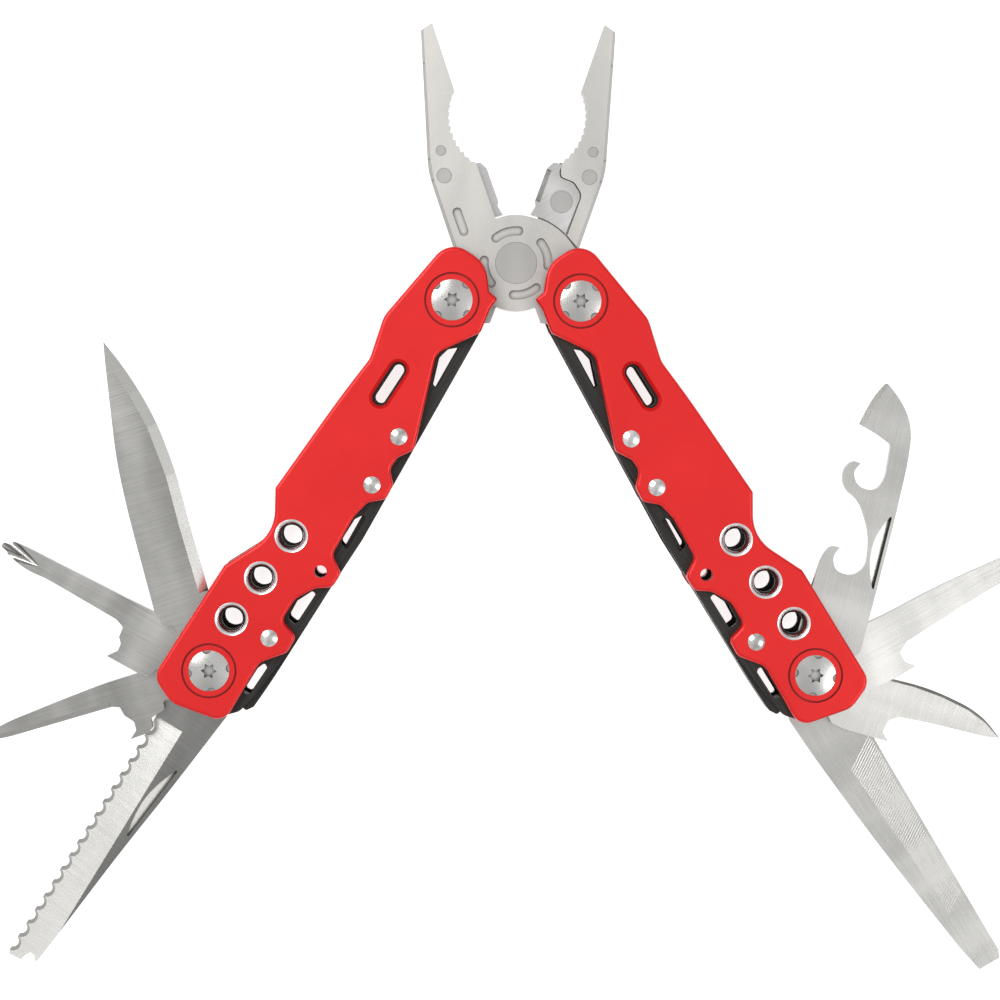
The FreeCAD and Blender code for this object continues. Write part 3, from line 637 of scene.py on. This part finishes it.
@dataclass
class FileTeeth:
    """The rows of cut teeth on both faces of the file."""

    tool: Tool
    first: float = 17.5
    last: float = 55.0
    pitch: float = 0.60
    lean: float = -0.62
    height: float = 0.045
    root: float = 0.03

    def edge(self, a: float, upper: bool) -> float:
        """How far the teeth reach to one side of the file.

        Args:
            a: millimetres from the post.
            upper: the toothed side, or the plain one.

        Returns:
            The distance from the middle line, in millimetres.
        """
        share = (a - self.first) / (self.last - self.first)
        return 3.55 - 1.0 * share if upper else -3.4 + 1.7 * share

    def make(self) -> bpy.types.Object:
        """Cut the teeth as low ridges on both faces.

        Returns:
            One object that rides with the file.
        """
        low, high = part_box("file")
        direction = self.tool.direction()
        along = Vector((math.cos(direction), math.sin(direction), 0))
        flip = -1 if self.tool.handle.side is Side.LEFT else 1
        across = Vector((-along.y, along.x, 0)) * flip
        post = Vector((self.tool.handle.tool_post.x, self.tool.handle.tool_post.y, 0))
        build = bmesh.new()
        count = int((self.last - self.first) / self.pitch)
        for face, out in ((high[2], 1), (low[2], -1)):
            for k in range(count):
                a = self.first + self.pitch * k
                ends = []
                for b in (self.edge(a, True), self.edge(a, False)):
                    lean = self.lean * (b - 3.75)
                    section = []
                    for step, rise in ((0.0, -self.root), (0.42, self.height), (0.5, -self.root)):
                        spot = post + (along * (a + lean + step * self.pitch) + across * b) * MM
                        section.append(build.verts.new(spot + Vector((0, 0, face + out * rise * MM))))
                    ends.append(section)
                one, two = ends
                for i in range(3):
                    j = (i + 1) % 3
                    build.faces.new((one[i], one[j], two[j], two[i]))
                build.faces.new(one)
                build.faces.new(two[::-1])
        made = mesh_object("file_teeth", build)
        teeth = Steel(Grain.BLASTED, (0.40, 0.39, 0.37), (0.52, 0.51, 0.49), 0.34, 1800.0)
        paint(made, teeth.material("file_teeth_steel", self.tool.handle.tool_post))
        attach(made, "file")
        return made


@dataclass
class Studio:
    """White table, soft lights and the camera, all placed from the object's box."""

    pivot: Vector
    height: float = 0.600
    lens: float = 108.0
    roll: float = math.radians(0.55)
    table_half: float = 3.0
    table_glow: float = 0.84

    def table(self) -> None:
        """A white table top under the object, lit from inside, so that what shows through a hole is white."""
        build = bmesh.new()
        bmesh.ops.create_grid(build, x_segments=8, y_segments=8, size=self.table_half)
        top = mesh_object("table_top", build)
        nodes = Nodes("white_table")
        nodes.tint(nodes.noise(nodes.place(), 12.0), (0.44, 0.44, 0.44), (0.46, 0.46, 0.46))
        nodes.shader.inputs["Roughness"].default_value = 0.9
        nodes.shader.inputs["Emission Color"].default_value = (1, 1, 1, 1)
        nodes.shader.inputs["Emission Strength"].default_value = self.table_glow
        paint(top, nodes.material)

    def lamp(self, name: str, place: tuple[float, float, float], size: float, power: float) -> None:
        """A square soft light that points at the pivot.

        Args:
            name: its name.
            place: offset from the pivot, in metres.
            size: its width.
            power: in watts.
        """
        light = bpy.data.lights.new(name, "AREA")
        light.size = size
        light.energy = power
        held = bpy.data.objects.new(name, light)
        held.location = self.pivot + Vector(place)
        held.rotation_euler = (-Vector(place)).to_track_quat("-Z", "Y").to_euler()
        bpy.context.collection.objects.link(held)

    def surround(self) -> None:
        """A surround that is bright overhead, with soft darker patches, and dimmer towards the horizon."""
        world = bpy.data.worlds.new("studio")
        bpy.context.scene.world = world
        world.use_nodes = True
        tree = world.node_tree
        back = tree.nodes["Background"]
        coord = tree.nodes.new("ShaderNodeTexCoord")
        noise = tree.nodes.new("ShaderNodeTexNoise")
        noise.inputs["Scale"].default_value = 3.0
        noise.inputs["Detail"].default_value = 1.0
        tree.links.new(coord.outputs["Generated"], noise.inputs["Vector"])
        patches = self.ranged(tree, noise.outputs["Fac"], (0.38, 0.62), (0.62, 1.02))
        split = tree.nodes.new("ShaderNodeSeparateXYZ")
        tree.links.new(coord.outputs["Generated"], split.inputs[0])
        rise = self.ranged(tree, split.outputs["Z"], (0.0, 0.55), (0.3, 1.0))
        both = tree.nodes.new("ShaderNodeMath")
        both.operation = "MULTIPLY"
        tree.links.new(patches, both.inputs[0])
        tree.links.new(rise, both.inputs[1])
        tree.links.new(both.outputs[0], back.inputs["Strength"])
        back.inputs["Color"].default_value = (1, 1, 1, 1)

    @staticmethod
    def ranged(
        tree: bpy.types.NodeTree, value: bpy.types.NodeSocket, source: tuple, target: tuple
    ) -> bpy.types.NodeSocket:
        """Map a value from one range to another.

        Args:
            tree: where the node goes.
            value: what to map.
            source: its lowest and highest value.
            target: the result at each.

        Returns:
            The mapped value.
        """
        node = tree.nodes.new("ShaderNodeMapRange")
        for key, number in zip(("From Min", "From Max", "To Min", "To Max"), (*source, *target)):
            node.inputs[key].default_value = number
        tree.links.new(value, node.inputs["Value"])
        return node.outputs[0]

    def camera(self) -> None:
        """The camera, above the handles' upper middle and tipped a little to the object's middle."""
        data = bpy.data.cameras.new("camera")
        data.lens = self.lens
        data.sensor_width = 36.0
        held = bpy.data.objects.new("camera", data)
        bpy.context.collection.objects.link(held)
        scale_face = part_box("left_front_scale")[1][2]
        foot = Vector((self.pivot.x - 14.9 * MM, self.pivot.y - 23.2 * MM, 0))
        held.location = foot + Vector((0, 0, scale_face + self.height))
        aim = foot + Vector((12.0 * MM, -24.4 * MM, scale_face))
        look = (aim - held.location).normalized()
        right = look.cross(Vector((0, 1, 0))).normalized()
        up = right.cross(look)
        turn = Matrix((right, up, -look)).transposed().to_4x4()
        held.rotation_mode = "QUATERNION"
        held.rotation_quaternion = (turn @ Matrix.Rotation(self.roll, 4, "Z")).to_quaternion()
        bpy.context.scene.camera = held

    def make(self) -> None:
        """Set up the whole studio."""
        bpy.context.scene.view_settings.view_transform = "Standard"
        self.table()
        self.surround()
        self.lamp("key", (-0.45, 0.35, 0.8), 0.5, 5.6)
        self.lamp("fill", (0.55, -0.25, 0.7), 0.4, 2.0)
        self.camera()


def main() -> None:
    """Build and dress the multi tool, then set up the studio."""
    logging.basicConfig(level=logging.INFO)
    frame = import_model()
    nodes = frame["nodes"]
    handles = {side: Handle(side, nodes) for side in Side}
    left, right = handles[Side.LEFT], handles[Side.RIGHT]
    for handle in handles.values():
        handle.dress()
    Jaws(nodes).dress()
    # each tool's face tones differ from tool to tool, partly by its own finish and partly as painted light
    # and shade; the third number is the tone of its off-level ground faces, partly the grind's own and partly
    # a painted highlight or shade
    tools = [
        Tool("knife", left, 51.2, tool_steel_and_painted_light(0.32, 0.46, 0.60), across=True),
        Tool("phillips_driver", left, 92.7, tool_steel_and_painted_light(0.30, 0.56, 0.34)),
        Tool("awl", left, 140.4, tool_steel_and_painted_light(0.30, 0.46, 0.50)),
        Tool("scaler", left, 177.7, tool_steel_and_painted_light(0.20, 0.32, 0.74), across=True),
        Tool("can_opener", right, 46.2, tool_steel_and_painted_light(0.48, 0.62, 0.42)),
        Tool("flat_driver", right, 94.1, tool_steel_and_painted_light(0.66, 0.86, 0.46)),
        Tool("small_blade", right, 141.2, tool_steel_and_painted_light(0.64, 0.78, 0.62), across=True),
        Tool("file", right, 180.3, tool_steel_and_painted_light(0.45, 0.54, 0.50)),
    ]
    for tool in tools:
        tool.dress(nodes[tool.name])
    FileTeeth(tools[-1]).make()
    Studio(centre_of("pliers_pivot")).make()


if __name__ == "__main__":
    main()
